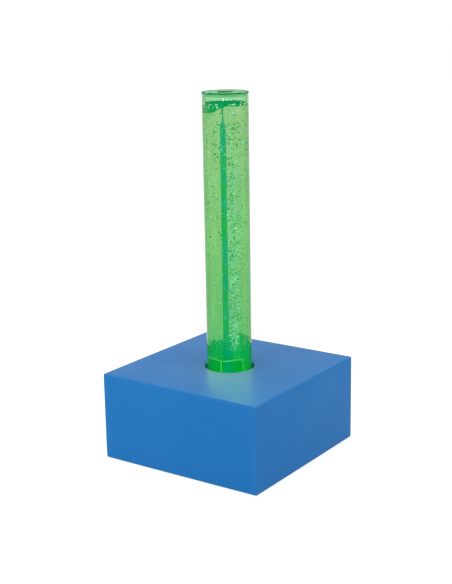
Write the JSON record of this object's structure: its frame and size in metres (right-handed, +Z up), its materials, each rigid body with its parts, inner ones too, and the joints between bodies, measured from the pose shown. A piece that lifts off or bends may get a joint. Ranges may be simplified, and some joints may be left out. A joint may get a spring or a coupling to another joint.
{
  "type": "sensory bubble tube",
  "caption": "Tall water-filled clear tube with rising bubbles and coloured light, standing in a square padded plinth that lifts off its hidden base unit.",
  "frame": {"origin": "centre of the underside, on the floor under the middle of the plinth", "axes": "+Z up along the tube, X and Y along the plinth's sides, +Y towards the back with the cable channel"},
  "size_m": [0.6, 0.6, 1.2],
  "materials": {
    "blue_vinyl": "satin",
    "foam": "matte",
    "plywood": "matte",
    "black_rubber": "matte",
    "clear_acrylic": "gloss",
    "lit_water": "gloss",
    "green_pipe": "gloss",
    "steel": "satin",
    "white_housing": "satin",
    "bright_aluminium": "satin",
    "lamp_glass": "polished",
    "ceramic": "matte",
    "colour_filter": "gloss",
    "black_plastic": "satin",
    "grey_plastic": "satin",
    "copper_winding": "satin",
    "brass_fitting": "satin",
    "clear_hose": "gloss",
    "lamination_steel": "satin",
    "red_grip": "satin"
  },
  "bodies": {
    "base_unit": {"bubble_tube": "clear_acrylic", "water_column": "lit_water", "air_box": "clear_acrylic", "standpipe": "green_pipe", "floor_flange": "clear_acrylic", "flange_gasket": "black_rubber", "flange_screw_1": "steel", "flange_screw_2": "steel", "flange_screw_3": "steel", "flange_screw_4": "steel", "base_foot_1": "black_rubber", "base_foot_2": "black_rubber", "base_foot_3": "black_rubber", "base_foot_4": "black_rubber", "base_plate": "white_housing", "deck_plate": "white_housing", "housing_front": "white_housing", "housing_back": "white_housing", "housing_left": "white_housing", "housing_right": "white_housing", "lamp_bracket": "bright_aluminium", "lamp_reflector": "lamp_glass", "lamp_holder": "ceramic", "wheel_motor": "steel", "fan_frame": "black_plastic", "pump_base": "grey_plastic", "pump_coil": "copper_winding", "pump_diaphragm": "black_rubber", "valve_block": "grey_plastic", "check_valve": "black_plastic", "air_inlet_barb": "brass_fitting", "air_hose": "clear_hose", "transformer_core": "lamination_steel", "transformer_winding": "copper_winding", "terminal_block": "grey_plastic", "power_inlet": "black_plastic", "switch_bezel": "black_plastic", "drain_pipe": "brass_fitting", "drain_valve_body": "brass_fitting"},
    "plinth": {"vinyl_cover": "blue_vinyl", "foam_top_pad": "foam", "foam_side_front": "foam", "foam_side_back": "foam", "foam_side_left": "foam", "foam_side_right": "foam", "carcass_top": "plywood", "carcass_front": "plywood", "carcass_back": "plywood", "carcass_left": "plywood", "carcass_right": "plywood", "skid_left": "black_rubber", "skid_right": "black_rubber"},
    "lid": {"lid_disc": "clear_acrylic"},
    "colour_wheel": {"wheel_frame": "bright_aluminium", "filter_disc": "colour_filter"},
    "fan": {"fan_rotor": "black_plastic"},
    "pump_arm": {"pump_armature": "steel"},
    "rocker": {"power_rocker": "black_plastic"},
    "lever": {"drain_lever": "red_grip"}
  },
  "joints": [
    {"name": "plinth_lift", "type": "slide", "parent": "base_unit", "child": "plinth", "axis": [0, 0, 1], "range_m": [0, 1.21]},
    {"name": "lid_lift", "type": "slide", "parent": "base_unit", "child": "lid", "axis": [0, 0, 1], "range_m": [0, 0.06]},
    {"name": "wheel_spin", "type": "hinge", "parent": "base_unit", "child": "colour_wheel", "pos_m": [-0.06, 0, 0.1682], "axis": [0, 0, 1], "continuous": true},
    {"name": "fan_spin", "type": "hinge", "parent": "base_unit", "child": "fan", "pos_m": [-0.155, 0, 0.0893], "axis": [1, 0, 0], "continuous": true},
    {"name": "armature_rock", "type": "hinge", "parent": "base_unit", "child": "pump_arm", "pos_m": [0.1315, -0.136, 0.0349], "axis": [0, 0, 1], "range_deg": [-1, 1], "stiffness_Nm_per_rad": 0.5},
    {"name": "rocker_tilt", "type": "hinge", "parent": "base_unit", "child": "rocker", "pos_m": [-0.115, 0.1698, 0.0743], "axis": [1, 0, 0], "range_deg": [-18, 0]},
    {"name": "drain_turn", "type": "hinge", "parent": "base_unit", "child": "lever", "pos_m": [0.0305, 0.1823, 0.1472], "axis": [0, 0, 1], "range_deg": [0, 90]}
  ]
}
